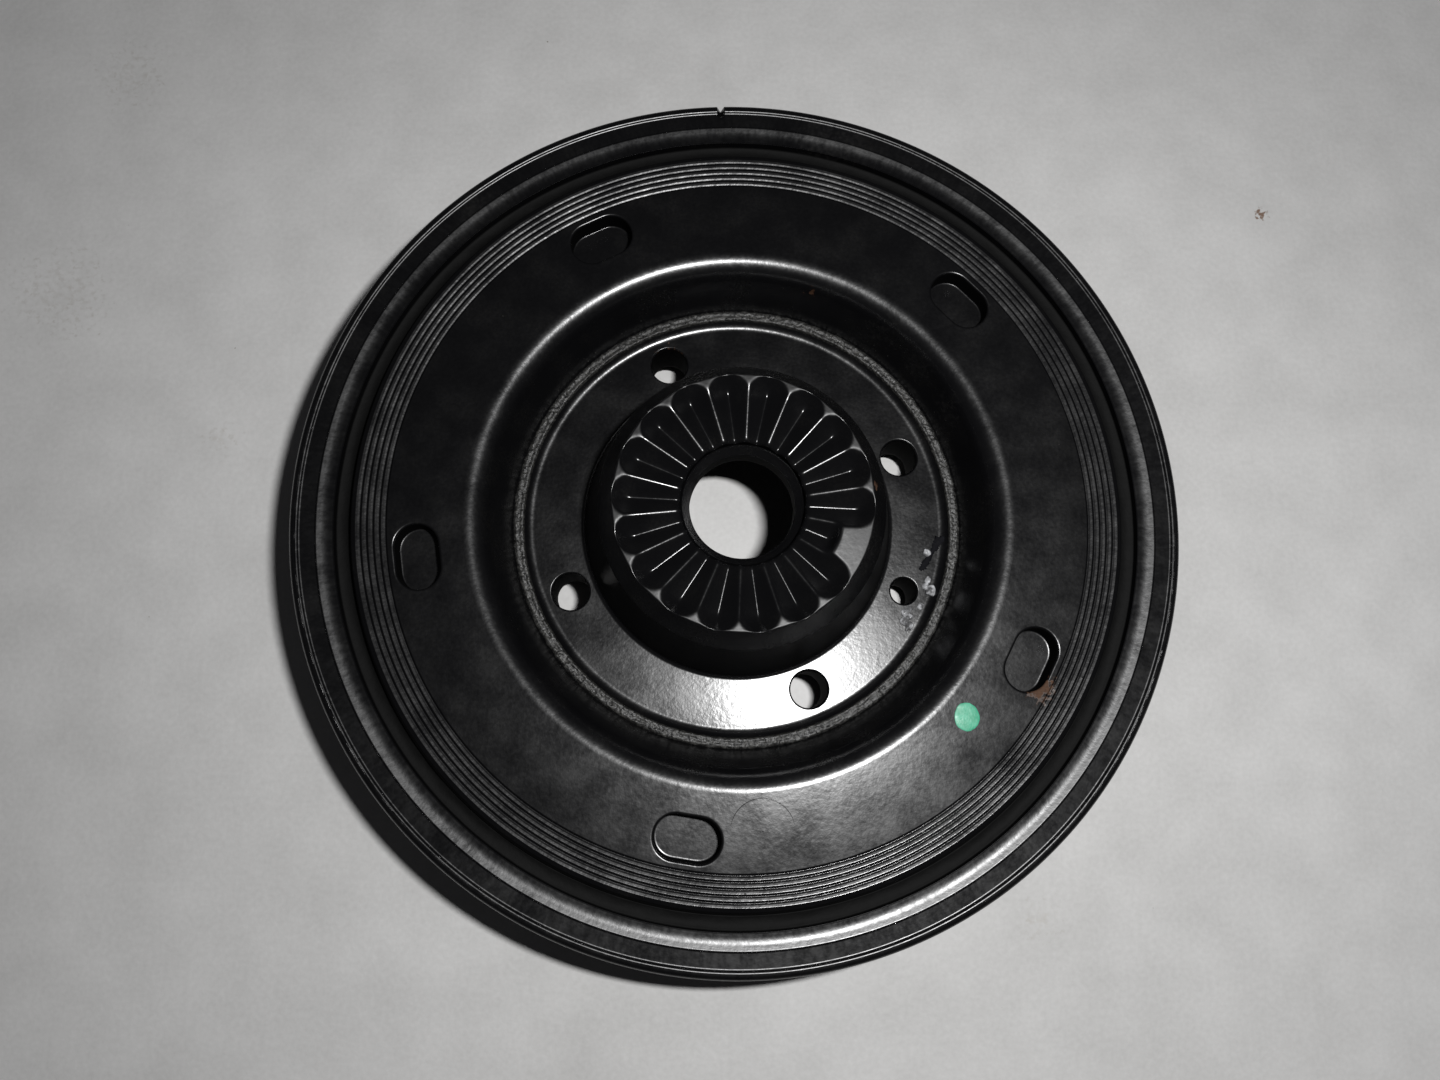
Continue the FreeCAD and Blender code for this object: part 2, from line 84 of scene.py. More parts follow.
GROOVE_COUNT = 5
RING_BORE = 66.8
RING_TOP = 25.0
RIB_RADIUS = 72.4
RIB_ROOT = 69.4
RIB_PITCH = 3.56
RIB_COUNT = 6
RIBS_TOP = 23.06
FRONT_LIP = 1.7
LIP_RADIUS = 73.99
NOTCH_ANGLE = math.radians(92.2)
PAINT_PLACE = (49.5, math.radians(-43.3))
PAINT_RADIUS = 2.15
PAINT_THICKNESS = 0.07
MARK_PLACE = (51.6, math.radians(-86.8))
MARK_RADIUS = 5.12
NOTCH_HALF_WIDTH = 0.65
NOTCH_DEPTH = 0.55


# Sections and turned meshes

def rounded(corners, guard=0.1):
    """A closed section of (radius, height, rounding, steps) with its corners rounded."""
    points = []
    for number, (r, z, size, steps) in enumerate(corners):
        here = Vector((r, z))
        before = Vector(corners[number - 1][:2]) - here
        after = Vector(corners[(number + 1) % len(corners)][:2]) - here
        turn = before.angle(after)
        if size == 0 or turn > math.pi - 0.01:
            points.append(here)
            continue
        reach = size / math.tan(turn / 2)
        first = here + before.normalized() * reach
        last = here + after.normalized() * reach
        halfway = (before.normalized() + after.normalized()).normalized()
        centre = here + halfway * size / math.sin(turn / 2)
        spread = math.pi - turn
        points.append(first + before.normalized() * min(guard, 0.3 * max(before.length - reach, 0)))
        for step in range(steps + 1):
            blend = step / steps
            arm = (first - centre) * math.sin((1 - blend) * spread)
            arm += (last - centre) * math.sin(blend * spread)
            points.append(centre + arm / math.sin(spread))
        points.append(last + after.normalized() * min(guard, 0.3 * max(after.length - reach, 0)))
    return points


def filled(points, longest):
    """The section with more points where its runs are longer than the length given there."""
    result = []
    for number, start in enumerate(points):
        stop = points[(number + 1) % len(points)]
        pieces = max(1, math.ceil((stop - start).length / longest((start + stop) / 2)))
        result += [start.lerp(stop, step / pieces) for step in range(pieces)]
    return result


def ruled(points, height, radii):
    """The section with points at just these radii on its level run at this height."""
    low, high = min(radii), max(radii)
    inside = [n for n, p in enumerate(points)
              if abs(p.y - height) < NEAR and low - NEAR <= p.x <= high + NEAR]
    before = points[(inside[0] - 1) % len(points)]
    rising = points[inside[0] + 1].x > before.x
    ordered = sorted(radii, reverse=not rising)
    return points[:inside[0]] + [Vector((r, height)) for r in ordered] + points[inside[-1] + 1:]


def rows_at(points, height, radii):
    """Row numbers of the points at this height and these radii, from the smallest radius."""
    rows = []
    for r in sorted(radii):
        away = [abs(point.x - r) + abs(point.y - height) for point in points]
        rows.append(away.index(min(away)))
    return rows


def spot(r, angle, z):
    return Vector((r * math.cos(angle), r * math.sin(angle), z)) * MM


def turned(points, angles, place=None, blocks=(), strides=None):
    """A bmesh of a closed section turned through the angles. place moves a point, each block
    (rows, columns) is left open for a patch, and a row uses every stride-th column."""
    mesh = bmesh.new()
    count, around = len(points), len(angles)
    strides = strides or [1] * count
    grid = []
    for row, point in enumerate(points):
        ring = {}
        for column in range(0, around, strides[row]):
            r, z = place(row, point.x, point.y, angles[column]) if place else (point.x, point.y)
            ring[column] = mesh.verts.new(spot(r, angles[column], z))
        grid.append(ring)
    left_open = set()
    for rows, columns in blocks:
        for a, b in zip(rows, rows[1:]):
            for c in columns[:-1]:
                left_open.add((min(a, b), c))
    for row in range(count):
        other = (row + 1) % count
        widest = max(strides[row], strides[other])
        for column in range(0, around, widest):
            if (row, column) in left_open:
                continue
            near = [grid[row][c % around] for c in range(column, column + widest + 1, strides[row])]
            far = [grid[other][c % around] for c in range(column + widest, column - 1, -strides[other])]
            mesh.faces.new(near + far)
    return mesh, grid


def border(grid, rows, columns):
    """The block's outer points, in order around it."""
    loop = [grid[rows[0]][c] for c in columns]
    loop += [grid[r][columns[-1]] for r in rows[1:]]
    loop += [grid[rows[-1]][c] for c in reversed(columns[:-1])]
    loop += [grid[r][columns[0]] for r in reversed(rows[1:-1])]
    return loop


def patch(mesh, start, centre, half_straight, radius, stations, end=None):
    """Rings of faces from a block's border down a round or slotted hole. A station is
    (distance outside the hole's outline, height). Without an end border the last ring is closed."""
    r, angle = centre
    middle = Vector((r * math.cos(angle), r * math.sin(angle)))
    across = Vector((-math.sin(angle), math.cos(angle)))
    out = Vector((math.cos(angle), math.sin(angle)))
    feet, ways, far = [], [], []
    for vertex in start:
        offset = vertex.co.xy / MM - middle
        u, v = offset.dot(across), offset.dot(out)
        foot = across * max(-half_straight, min(half_straight, u))
        way = across * u + out * v - foot
        feet.append(middle + foot)
        ways.append(way.normalized())
        far.append(way.length - radius)
    rings = [start]
    for blend in (0.3, 0.6, 0.82):
        ring = []
        for foot, way, reach in zip(feet, ways, far):
            distance = reach + (stations[0][0] - reach) * blend
            flat = foot + way * (radius + distance)
            ring.append(mesh.verts.new((flat.x * MM, flat.y * MM, stations[0][1] * MM)))
        rings.append(ring)
    for distance, z in stations:
        flats = [foot + way * (radius + distance) for foot, way in zip(feet, ways)]
        rings.append([mesh.verts.new((flat.x * MM, flat.y * MM, z * MM)) for flat in flats])
    if end:
        for blend in (0.82, 0.6, 0.3):
            ring = []
            for foot, way, reach in zip(feet, ways, far):
                distance = reach + (stations[-1][0] - reach) * blend
                flat = foot + way * (radius + distance)
                ring.append(mesh.verts.new((flat.x * MM, flat.y * MM, stations[-1][1] * MM)))
            rings.append(ring)
        rings.append(end)
    for first, second in zip(rings, rings[1:]):
        for number in range(len(first)):
            other = (number + 1) % len(first)
            mesh.faces.new((first[number], first[other], second[other], second[number]))
    if not end:
        mesh.faces.new(rings[-1])


def finished(name, mesh, material, node=None):
    """The mesh as a smooth object that rides on the part's one body."""
    loose = [v for v in mesh.verts if not v.link_faces]
    bmesh.ops.delete(mesh, geom=loose, context="VERTS")
    bmesh.ops.recalc_face_normals(mesh, faces=mesh.faces)
    data = bpy.data.meshes.new(name)
    mesh.to_mesh(data)
    mesh.free()
    data.shade_smooth()
    data.materials.append(material)
    piece = bpy.data.objects.new(name, data)
    bpy.context.scene.collection.objects.link(piece)
    if node:
        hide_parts(node)
    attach(piece, "root")
    return piece


def evenly(count, start=0.0):
    return [start + FULL * number / count for number in range(count)]


def columns_near(angles, angle, reach, stride=1):
    """Numbers of the columns within reach of an angle, in order across it."""
    def turn(other):
        return (other - angle + math.pi) % FULL - math.pi
    near = [n for n in range(0, len(angles), stride) if abs(turn(angles[n])) <= reach + NEAR]
    return sorted(near, key=lambda n: turn(angles[n]))


# The hub, with its splined boss

def smaller(a, b, size):
    """The smaller of two heights, with the edge between them rounded."""
    near = max(size - abs(a - b), 0) / size
    return min(a, b) - near * near * size / 4


def groove_height(r, angle, reach, squeeze):
    """Height of one groove's face above its root. The flanks are a little hollow, and the
    outer end is a bowl with a rounder root."""
    off = r * math.sin(angle)
    past = max(r * math.cos(angle) - reach, 0) * squeeze
    distance = math.hypot(past, off)
    flank = 0.64 * distance + 0.03 * distance * distance
    bowl = 1.2 * (math.sqrt(distance * distance + 2.25) - 1.5)
    share = (past / distance) ** 2 if past > 0 else 0
    height = flank * (1 - share) + bowl * share
    return math.sqrt(height * height + 0.017) - 0.13


def spline_height(r, angle):
    """Height of the face spline's surface where nothing else is cut."""
    pitch = FULL / SPLINE_COUNT
    nearest = round(angle / pitch)
    heights = []
    for number in (nearest - 1, nearest, nearest + 1):
        is_key = number % SPLINE_COUNT == 0
        reach = KEY_REACH if is_key else SPLINE_REACH
        squeeze = KEY_SQUEEZE if is_key else 1.0
        heights.append(groove_height(r, angle - number * pitch, reach, squeeze))
    heights.sort()
    return BOSS_TOP - SPLINE_DEPTH + smaller(heights[0], heights[1], 0.7)


def spline_columns():
    """Column angles, closer together along each groove's root and ridge."""
    pitch = FULL / SPLINE_COUNT
    steps = 21
    half = []
    for step in range(steps):
        share = step / steps
        half.append((share - 0.55 * math.sin(FULL * share) / FULL) * pitch / 2)
    angles = []
    for number in range(SPLINE_COUNT):
        angles += [SPLINE_ANGLE + number * pitch + a for a in half]
        angles += [SPLINE_ANGLE + (number + 0.5) * pitch + a for a in half]
    return angles


def hub_section():
    points = rounded([
        (BORE, SEAT_TOP, 0.3, 3),
        (SEAT_RADIUS, SEAT_TOP, 0.4, 3),
        (SEAT_RADIUS, FLANGE_BOTTOM, 0.4, 3),
        (SEAM_RADIUS, FLANGE_BOTTOM, 0.3, 3),
        (SEAM_RADIUS, SEAM_TOP - 1.3, 0.1, 1),
        (BEAD_INNER + 0.1, SEAM_TOP - 0.7, 0.1, 1),
        (36.1, FLANGE_TOP, 2.1, 9),
        (BOSS_BASE_RADIUS, FLANGE_TOP, 0.8, 5),
        (*BOSS_SHOULDER, 0.5, 4),
        (BOSS_TOP_RADIUS, BOSS_TOP, 0.35, 4),
        (TOOTH_BORE, BOSS_TOP, 0, 0),
        (TOOTH_BORE - 0.04, CHAMFER_TOP, 0, 0),
        (BORE, CHAMFER_FOOT, 0.12, 2),
    ])

    def longest(middle):
        if middle.y > BOSS_TOP - 2.4 and middle.x > 17.2:
            return 0.15
        if middle.y > BOSS_TOP - 0.1:
            return 0.08 if middle.x < 10.6 else 0.45
        if middle.x < TOOTH_BORE + 0.01 and middle.y > BOSS_TOP - 4:
            return 0.4
        on_flange = abs(middle.y - FLANGE_TOP) < 0.1 or abs(middle.y - FLANGE_BOTTOM) < 0.1
        return 0.7 if on_flange else 3.0
    return filled(points, longest)


def make_hub(material):
    block_radii = [27.5 + 0.5 * number for number in range(16)]
    points = ruled(ruled(hub_section(), FLANGE_TOP, block_radii), FLANGE_BOTTOM, block_radii)
    angles = spline_columns()
    coarse = 3

    def place(row, r, z, angle):
        if z < 28.5 or r > 23.4:
            return r, z
        surface = spline_height(r, angle - SPLINE_ANGLE)
        rim = max(0.3 - (r - TOOTH_BORE), 0)
        surface -= 0.3 - math.sqrt(max(0.09 - rim * rim, 0))
        if r <= TOOTH_BORE + NEAR and z > CHAMFER_TOP + NEAR:
            foot = min(CHAMFER_TOP, surface - 0.02)
            share = (z - CHAMFER_TOP) / (BOSS_TOP - CHAMFER_TOP)
            return r, foot + (surface - foot) * share
        return r, smaller(z, surface, 0.2)

    holes = [(INDEX_ANGLE + math.radians(45 + 90 * number), BOLT_HOLE) for number in range(4)]
    holes.append((INDEX_ANGLE, INDEX_HOLE))
    top_rows = rows_at(points, FLANGE_TOP, block_radii)
    bottom_rows = rows_at(points, FLANGE_BOTTOM, block_radii)
    blocks = []
    for angle, radius in holes:
        columns = columns_near(angles, angle, (radius + 1.5) / HOLE_CIRCLE, coarse)
        blocks += [(top_rows, columns), (bottom_rows, columns)]
    strides = [1 if p.y > BOSS_TOP - 4.6 and p.x < 23.6 else coarse for p in points]
    mesh, grid = turned(points, angles, place, blocks, strides)
    top, bottom = FLANGE_TOP, FLANGE_BOTTOM
    stations = [(0.34, top), (0.27, top), (0.21, top - 0.03), (0.05, top - 0.2), (0, top - 0.3),
                (0, top - 1), (0, top - 4), (0, bottom + 1), (0, bottom + 0.2),
                (0.1, bottom + 0.03), (0.2, bottom), (0.32, bottom)]
    for number, (angle, radius) in enumerate(holes):
        columns = blocks[2 * number][1]
        start = border(grid, top_rows, columns)
        end = border(grid, bottom_rows, columns)
        patch(mesh, start, (HOLE_CIRCLE, angle), 0, radius, stations, end)
    return finished("hub_body", mesh, material, "hub")


# The disc with its web and rim

def disc_section():
    foot = FLANGE_BOTTOM + 1
    under = WEB_TOP - 8.5
    corners = [
        (SEAM_RADIUS, foot, 0.2, 2),
        (SEAM_RADIUS + 6.4, foot, 0.6, 4),
        (WEB_INNER + 3.2, under, 2.0, 6),
        (RIM_RADIUS - 5.6, under, 2.0, 6),
        (RIM_RADIUS - 5.6, 2.2, 0.4, 3),
        (RIM_RADIUS, 2.2, 0.4, 3),
        (RIM_RADIUS, WEB_TOP - 2.2, 0.5, 3),
        (WEB_OUTER + 0.3, WEB_TOP - 0.35, 0.5, 4),
    ]
    for number in reversed(range(GROOVE_COUNT)):
        low = GROOVE_INNER + number * GROOVE_PITCH
        corners += [
            (low + 0.7, WEB_TOP - 0.01, 0.14, 3),
            (low + 0.3, WEB_TOP - 0.115, 0.3, 3),
            (low, WEB_TOP - 0.23, 0.06, 2),
        ]
    corners += [
        (GROOVE_INNER - 0.28, WEB_TOP, 0.12, 2),
        (WEB_INNER, WEB_TOP, 4.4, 16),
        (BEAD_OUTER, SEAM_TOP - 0.5, 0.3, 2),
        (SEAM_RADIUS, SEAM_TOP - 1.1, 0, 0),
    ]
    return filled(rounded(corners, 0.06), lambda middle: 3.0 if middle.y < WEB_TOP - 0.05 else 0.9)


def make_disc(material):
    block_radii = [48.9 + 0.58 * number for number in range(16)]
    points = ruled(disc_section(), WEB_TOP, block_radii)
    angles = evenly(600, POCKET_ANGLE)
    rows = rows_at(points, WEB_TOP, block_radii)
    blocks = []
    for number in range(POCKET_COUNT):
        angle = POCKET_ANGLE + FULL * number / POCKET_COUNT
        blocks.append((rows, columns_near(angles, angle, 6.4 / POCKET_CIRCLE)))
    mesh, grid = turned(points, angles, None, blocks)
    top, floor = WEB_TOP, WEB_TOP - POCKET_DEPTH
    stations = [(0.4, top), (0.3, top - 0.01), (0.2, top - 0.04), (0.1, top - 0.11),
                (0.03, top - 0.22), (0, top - 0.35), (0, top - 1.2), (0, top - 2.6),
                (0, floor + 0.2), (-0.04, floor + 0.05), (-0.14, floor), (-0.4, floor),
                (-1.2, floor), (-2.1, floor), (-2.8, floor), (-3.4, floor)]
    for number, (_, columns) in enumerate(blocks):
        centre = (POCKET_CIRCLE, POCKET_ANGLE + FULL * number / POCKET_COUNT)
        outer = border(grid, rows, columns)
        patch(mesh, outer, centre, POCKET_HALF_STRAIGHT, POCKET_RADIUS, stations)
    return finished("disc_body", mesh, material, "web_disc")


# The belt ring, the rubber and the weld

def ring_section():
    foot = RING_TOP - 0.55
    corners = [
        (RING_BORE, 0, 0.4, 3),
        (LIP_RADIUS, 0, 0.8, 5),
        (LIP_RADIUS, FRONT_LIP, 0.15, 2),
        (RIB_RADIUS, FRONT_LIP, 0.1, 1),
    ]
    for number in range(RIB_COUNT):
        middle = FRONT_LIP + RIB_PITCH * (number + 0.5)
        corners += [
            (RIB_RADIUS, middle - 1.38, 0.25, 2),
            (RIB_ROOT, middle - 0.288, 0.2, 2),
            (RIB_ROOT, middle + 0.288, 0.2, 2),
            (RIB_RADIUS, middle + 1.38, 0.25, 2),
        ]
    corners += [
        (RIB_RADIUS, RIBS_TOP, 0.1, 1),
        (LIP_RADIUS, RIBS_TOP, 0.15, 2),
        (LIP_RADIUS, RING_TOP, 1.05, 8),
        (72.62, RING_TOP, 0.45, 5),
        (72.3, RING_TOP - 0.35, 0.45, 5),
        (69.75, RING_TOP - 0.35, 0.12, 2),
        (69.6, RING_TOP - 0.12, 0.2, 4),
        (68.1, foot, 4.9, 12),
        (RING_BORE, foot, 0.04, 2),
    ]
    return filled(rounded(corners, 0.08), lambda middle: 4.0 if middle.y < 23 else 0.6)


def make_ring(material):
    points = ring_section()
    half_width = NOTCH_HALF_WIDTH / LIP_RADIUS
    angles = []
    for angle in evenly(480, NOTCH_ANGLE):
        if abs((angle - NOTCH_ANGLE + math.pi) % FULL - math.pi) > 1.5 * half_width:
            angles.append(angle)
    for share in (-1.35, -1.12, -1, -0.88, -0.5, -0.12, 0, 0.12, 0.5, 0.88, 1, 1.12, 1.35):
        angles.append((NOTCH_ANGLE + share * half_width) % FULL)
    angles.sort(key=lambda a: a % FULL)

    def place(row, r, z, angle):
        turn = abs((angle - NOTCH_ANGLE + math.pi) % FULL - math.pi) / half_width
        if z > 23.0 and r > 71.7 and turn < 1:
            depth = 1 - turn
            r = min(r, LIP_RADIUS - NOTCH_DEPTH * depth)
            z -= min(1.5 * depth, 0.8 * (z - RIBS_TOP)) * min(r - 71.7, 1)
        return r, z
    mesh, _ = turned(points, angles, place)
    return finished("ring_body", mesh, material, "belt_ring")


def make_rubber(material):
    rear = RING_TOP - 2.0
    points = [Vector((RIM_RADIUS, 1.6)), Vector((RING_BORE, 1.6)), Vector((RING_BORE, rear))]
    centre = Vector(((RIM_RADIUS + RING_BORE) / 2, rear + math.sqrt(2.4 ** 2 - 1.2 ** 2)))
    for step in range(1, 9):
        angle = math.radians(300 - 60 * step / 9)
        points.append(centre + 2.4 * Vector((math.cos(angle), math.sin(angle))))
    points.append(Vector((RIM_RADIUS, rear)))
    points = filled(points, lambda middle: 4.0)

    def place(row, r, z, angle):
        if z > rear - 1 and RIM_RADIUS + 0.1 < r < RING_BORE - 0.1:
            z += 0.12 * noise.noise(Vector((r * 0.6, 24 * math.cos(angle), 24 * math.sin(angle))))
        return r, z
    mesh, _ = turned(points, evenly(360), place)
    return finished("rubber_body", mesh, material, "rubber_ring")


def bead_gap(angle):
    """How much of the weld's outer edge is missing there, from 0 to 1."""
    gap = 0
    for middle, width in ((67, 1.6), (130, 0.9), (160, 1.1), (204, 0.8), (336, 1.8)):
        turn = abs((math.degrees(angle) - middle + 180) % 360 - 180)
        gap = max(gap, 1 - turn / width)
    return gap


def make_bead(material):
    """The weld, with two low crests, a rough face and an uneven edge."""
    shape = [(1.08, -1.5), (1.0, -0.75), (0.95, -0.42), (0.88, -0.25), (0.8, -0.15), (0.72, -0.1),
             (0.64, -0.1), (0.56, -0.14), (0.48, -0.18), (0.4, -0.17), (0.32, -0.13), (0.24, -0.1),
             (0.16, -0.11), (0.1, -0.16), (0.05, -0.28), (0.01, -0.5), (-0.02, -0.8), (0.1, -1.5)]
    width = BEAD_OUTER - BEAD_INNER
    points = [Vector((BEAD_INNER + width * share, SEAM_TOP + z)) for share, z in shape]

    def place(row, r, z, angle):
        share = (r - BEAD_INNER) / width
        flat = Vector((r * math.cos(angle), r * math.sin(angle), 0))
        rough = 0.13 * noise.noise(flat * 0.8)
        rough += 0.14 * noise.noise(flat * 2.1)
        rough += 0.09 * noise.noise(flat * 4.7)
        toe = 0.2 * noise.noise(Vector((angle * 30, 4.2, 0)))
        toe += 0.1 * noise.noise(Vector((angle * 90, 1.2, 0)))
        if share > 0.85:
            r += toe
        if share < 0.08:
            r += 0.3 * toe
        if share > 0.5:
            z -= 0.7 * max(bead_gap(angle), 0) * (share - 0.5)
        return r, z + (rough if z > SEAM_TOP - 1.0 else 0)
    mesh, _ = turned(points, evenly(1500), place)
    return finished("weld_ring", mesh, material, "weld_bead")


# Small marks and spatter

def capped(mesh, top, rings):
    """Faces from a top point down over the closed rings, and across the last one."""
    count = len(rings[0])
    for number in range(count):
        mesh.faces.new((top, rings[0][(number + 1) % count], rings[0][number]))
    for first, second in zip(rings, rings[1:]):
        for number in range(count):
            other = (number + 1) % count
            mesh.faces.new((first[number], first[other], second[other], second[number]))
    mesh.faces.new(list(reversed(rings[-1])))


def strip(mesh, rows):
    """Faces around a long thin piece from its rows of points, and across both its ends."""
    last = len(rows[0]) - 1
    for first, second in zip(rows, rows[1:]):
        for number in range(last):
            mesh.faces.new((first[number], first[number + 1], second[number + 1], second[number]))
        mesh.faces.new((first[0], second[0], second[last], first[last]))
    mesh.faces.new(list(reversed(rows[0])))
    mesh.faces.new(rows[-1])


def blob(mesh, r, angle, across, out, height, level, seed):
    """A low uneven lump of the given half widths on a level face."""
    middle = spot(r, angle, level)
    side = Vector((-math.sin(angle), math.cos(angle), 0))
    way = Vector((math.cos(angle), math.sin(angle), 0))
    count, around = 7, 22
    top = mesh.verts.new(middle + Vector((0, 0, height * MM)))
    rings = []
    for ring in range(1, count + 1):
        share = ring / count
        line = []
        for number in range(around):
            turn = FULL * number / around
            place = Vector((math.cos(turn) * 1.3 + seed, math.sin(turn) * 1.3, seed * 0.7))
            wave = 1 + 0.35 * noise.noise(place)
            flat = side * math.cos(turn) * across * share * wave
            flat += way * math.sin(turn) * out * share * wave
            lump = noise.noise(Vector((flat.x * 1.6 + seed, flat.y * 1.6, seed)))
            rise = math.sqrt(max(1 - share * share, 0)) + 0.45 * lump * (1 - share)
            z = height * rise - 0.12 * share
            line.append(mesh.verts.new(middle + (flat + Vector((0, 0, z))) * MM))
        rings.append(line)
    capped(mesh, top, rings)


def lumps(name, places, material):
    """One piece of several lumps: (r, degrees, half across, half out, height, level)."""
    mesh = bmesh.new()
    for number, (r, degrees, across, out, height, level) in enumerate(places):
        blob(mesh, r, math.radians(degrees), across, out, height, level, 3.7 * number + 1.3)
    return finished(name, mesh, material)


def make_spatter(weld, splash):
    chance = random.Random(7)
    places = []
    for start, stop, count in ((95, 178, 34), (-8, 8, 7), (185, 250, 12), (20, 60, 9), (300, 335, 10)):
        for _ in range(count):
            size = chance.uniform(0.07, 0.17)
            r = chance.uniform(BEAD_OUTER + 0.25, BEAD_OUTER + 1.3)
            level = SEAM_TOP - 0.5 + (r - BEAD_OUTER) * 2.4
            places.append((r, chance.uniform(start, stop), size, size, size, level))
    for r, degrees in ((60.3, -91.5), (60.9, -90), (55.2, 12), (52.3, 140), (61.9, -26.6), (50.4, 203)):
        places.append((r, degrees, 0.16, 0.12, 0.09, WEB_TOP))
    for r, degrees in ((34.2, 131), (32.6, 60), (35.1, 243), (29.9, 262), (33.9, 304), (30.2, 318)):
        places.append((r, degrees, 0.14, 0.14, 0.08, FLANGE_TOP))
    lumps("weld_spatter", places, weld)
    lumps("weld_splash", [
        (33.6, -9.0, 0.8, 0.7, 0.45, FLANGE_TOP),
        (34.6, -16.9, 0.7, 0.6, 0.45, FLANGE_TOP),
        (34.5, -18.8, 0.8, 0.6, 0.5, FLANGE_TOP),
        (35.6, -19.7, 1.1, 0.9, 0.75, FLANGE_TOP + 0.1),
        (34.9, -24.8, 0.7, 0.6, 0.4, FLANGE_TOP),
        (33.4, -26.9, 0.6, 0.6, 0.4, FLANGE_TOP),
        (32.9, -28.6, 0.8, 0.7, 0.5, FLANGE_TOP),
        (34.0, -29.0, 0.7, 0.6, 0.45, FLANGE_TOP),
        (33.6, -30.8, 1.0, 0.8, 0.6, FLANGE_TOP),
        (34.7, -31.6, 1.0, 0.7, 0.6, FLANGE_TOP),
    ], splash)


def make_crack(material):
    """A thin ragged near-black strip laid on the flange where the weld's end ran over it: painted shade
    for the crack there.
    """
    line = [(36.3, -3.8, 0.4), (35.8, -4.8, 1.0), (35.3, -5.9, 1.0), (34.9, -7.0, 0.7), (34.5, -8.6, 0.5),
            (34.0, -10.6, 0.5), (33.6, -12.4, 0.75), (33.2, -13.8, 0.7), (33.0, -15.0, 0.2)]
    mesh = bmesh.new()
    chance = random.Random(3)
    rows = []
    for number in range(len(line) - 1):
        for step in range(5):
            share = step / 5
            ends = zip(line[number], line[number + 1])
            r, degrees, half = (a + (b - a) * share for a, b in ends)
            middle = spot(r, math.radians(degrees), 0)
            far = spot(line[number + 1][0], math.radians(line[number + 1][1]), 0)
            near = spot(line[number][0], math.radians(line[number][1]), 0)
            along = (far - near).normalized()
            side = Vector((-along.y, along.x, 0))
            left = half * chance.uniform(0.6, 1.25)
            right = half * chance.uniform(0.6, 1.25)
            lift = 0.02 + 0.9 * max(r - 35.4, 0)
            row = []
            for share_across, z in ((-1, -0.1), (-0.8, 0.03), (0, 0.05), (0.8, 0.03), (1, -0.1)):
                reach = left if share_across < 0 else right
                place = middle + side * share_across * reach * MM
                row.append(mesh.verts.new(place + Vector((0, 0, FLANGE_TOP + lift * 0.5 + z)) * MM))
            rows.append(row)
    strip(mesh, rows)
    return finished("painted_crack_shade", mesh, material)


def make_paint(material):
    """The inspector's dab of paint, a thin uneven drop."""
    mesh = bmesh.new()
    middle = spot(*PAINT_PLACE, 0)
    around = 48
    top = mesh.verts.new(middle + Vector((0, 0, WEB_TOP + PAINT_THICKNESS)) * MM)
    rings = []
    for share in (0.3, 0.6, 0.85, 0.95, 1.0):
        line = []
        for number in range(around):
            turn = FULL * number / around
            wave = 1 + 0.1 * noise.noise(Vector((math.cos(turn) * 1.4, math.sin(turn) * 1.4, 5.0)))
            wave += 0.04 * noise.noise(Vector((math.cos(turn) * 5, math.sin(turn) * 5, 2.0)))
            z = WEB_TOP + PAINT_THICKNESS * (1 - share ** 6) - (0.03 if share == 1 else 0)
            flat = Vector((math.cos(turn), math.sin(turn), 0)) * PAINT_RADIUS * share * wave
            line.append(mesh.verts.new(middle + Vector((flat.x, flat.y * 1.08, z)) * MM))
        rings.append(line)
    capped(mesh, top, rings)
    return finished("paint_dab", mesh, material)


def make_ring_mark(material):
    """The faint arc and centre dot beside the lowest pocket."""
    mesh = bmesh.new()
    middle = spot(*MARK_PLACE, WEB_TOP)
    rows = []
    for number in range(49):
        turn = math.radians(8 + 164 * number / 48)
        fade = math.sin(math.pi * number / 48) ** 0.4
        row = []
        for off, z in ((-0.1, -0.05), (-0.06, 0.03), (0, 0.045), (0.06, 0.03), (0.1, -0.05)):
            reach = MARK_RADIUS + off * fade
            lift = z * fade - 0.02 * (1 - fade)
            place = Vector((math.cos(turn) * reach, math.sin(turn) * reach, lift))
            row.append(mesh.verts.new(middle + place * MM))
        rows.append(row)
    strip(mesh, rows)
    blob(mesh, *MARK_PLACE, 0.12, 0.12, 0.12, WEB_TOP, 2.0)
    return finished("ring_mark", mesh, material)


# Materials

